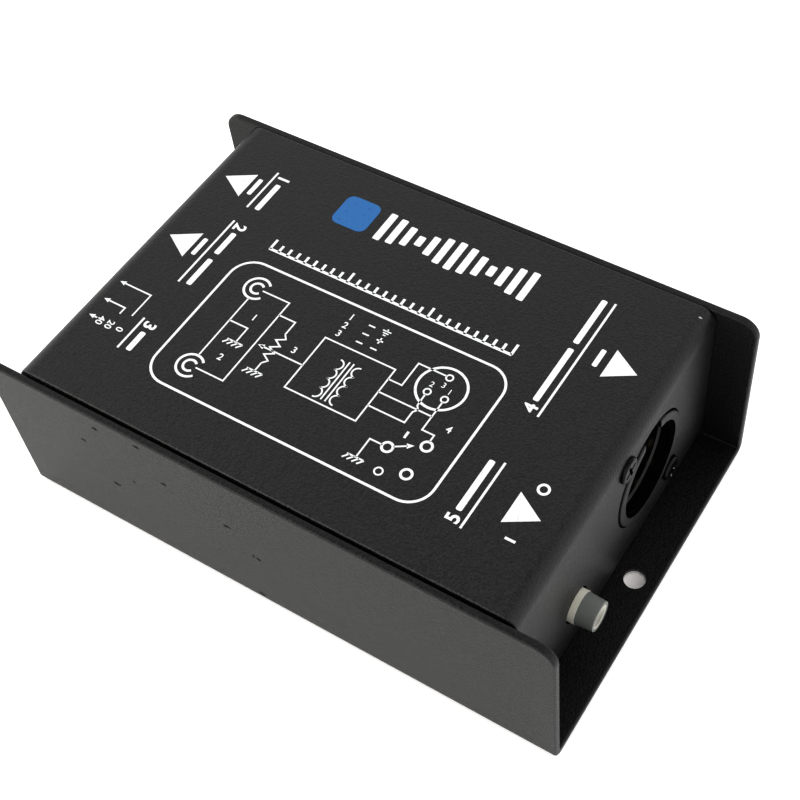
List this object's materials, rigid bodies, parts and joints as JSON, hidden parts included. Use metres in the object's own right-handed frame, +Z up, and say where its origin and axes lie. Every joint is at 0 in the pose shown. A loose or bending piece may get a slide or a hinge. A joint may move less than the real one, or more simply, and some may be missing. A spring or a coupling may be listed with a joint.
{
  "type": "direct injection box",
  "caption": "Passive direct injection box: folded steel case with jack inputs and an attenuator at one end, a balanced XLR output and a ground-lift push button at the other.",
  "frame": {"origin": "centre of the underside of the case", "axes": "+X along the case towards the XLR end, +Y across the case, +Z up"},
  "size_m": [0.1208, 0.0764, 0.0398],
  "materials": {
    "case_coat": "fine matte powder coat",
    "black_screw": "black oxide",
    "zinc_steel": "zinc plated",
    "board_laminate": "green solder mask",
    "xlr_shell": "satin moulded black",
    "black_plastic": "satin",
    "contact_metal": "tinned and plated",
    "spring_metal": "bright",
    "nickel": "nickel plate",
    "ivory_plastic": "satin",
    "grey_plastic": "satin",
    "phenolic": "matte",
    "core_steel": "varnished laminations",
    "winding_tape": "polyester tape",
    "resistor_coat": "lacquered",
    "wire_red": "PVC insulation",
    "wire_black": "PVC insulation",
    "print_white": "white screen print on the lid",
    "print_blue": "blue screen print on the lid"
  },
  "bodies": {
    "case": {"attenuator_base": "phenolic", "attenuator_frame": "zinc_steel", "attenuator_screws": "black_screw", "attenuator_terminals": "contact_metal", "attenuator_wire_1": "wire_red", "attenuator_wire_2": "wire_black", "attenuator_wire_3": "wire_red", "attenuator_wire_4": "wire_black", "board_screws": "zinc_steel", "board_standoffs": "zinc_steel", "case_screws": "black_screw", "circuit_board": "board_laminate", "ground_switch_body": "black_plastic", "ground_switch_spring": "spring_metal", "ground_switch_terminals": "contact_metal", "input_jack_body": "black_plastic", "input_jack_nut": "nickel", "input_jack_sleeve_contact": "spring_metal", "input_jack_tip_contact": "spring_metal", "input_jack_washer": "nickel", "lid_panel": "case_coat", "link_jack_body": "black_plastic", "link_jack_nut": "nickel", "link_jack_sleeve_contact": "spring_metal", "link_jack_tip_contact": "spring_metal", "link_jack_washer": "nickel", "outer_shell": "case_coat", "resistor_1": "resistor_coat", "resistor_2": "resistor_coat", "resistor_3": "resistor_coat", "resistor_4": "resistor_coat", "transformer_bobbin": "black_plastic", "transformer_core": "core_steel", "transformer_nuts": "zinc_steel", "transformer_pins": "contact_metal", "transformer_screws": "zinc_steel", "transformer_strap": "zinc_steel", "transformer_winding": "winding_tape", "xlr_housing": "xlr_shell", "xlr_insert": "black_plastic", "xlr_nuts": "zinc_steel", "xlr_pin_1": "contact_metal", "xlr_pin_2": "contact_metal", "xlr_pin_3": "contact_metal", "xlr_screws": "black_screw", "xlr_wire_1": "wire_black", "xlr_wire_2": "wire_red", "xlr_wire_3": "wire_black"},
    "ground_button": {"ground_switch_plunger": "ivory_plastic", "ground_button_cap": "grey_plastic"},
    "attenuator": {"attenuator_slider": "black_plastic", "attenuator_wiper": "contact_metal"}
  },
  "joints": [
    {"name": "ground_button_press", "type": "slide", "parent": "case", "child": "ground_button", "axis": [-1, 0, 0], "range_m": [0, 0.003], "stiffness_N_per_m": 300, "springref_m": -0.001, "deforming": ["ground_switch_spring"]},
    {"name": "attenuator_slide", "type": "slide", "parent": "case", "child": "attenuator", "axis": [0, 1, 0], "range_m": [-0.004, 0.004]}
  ]
}
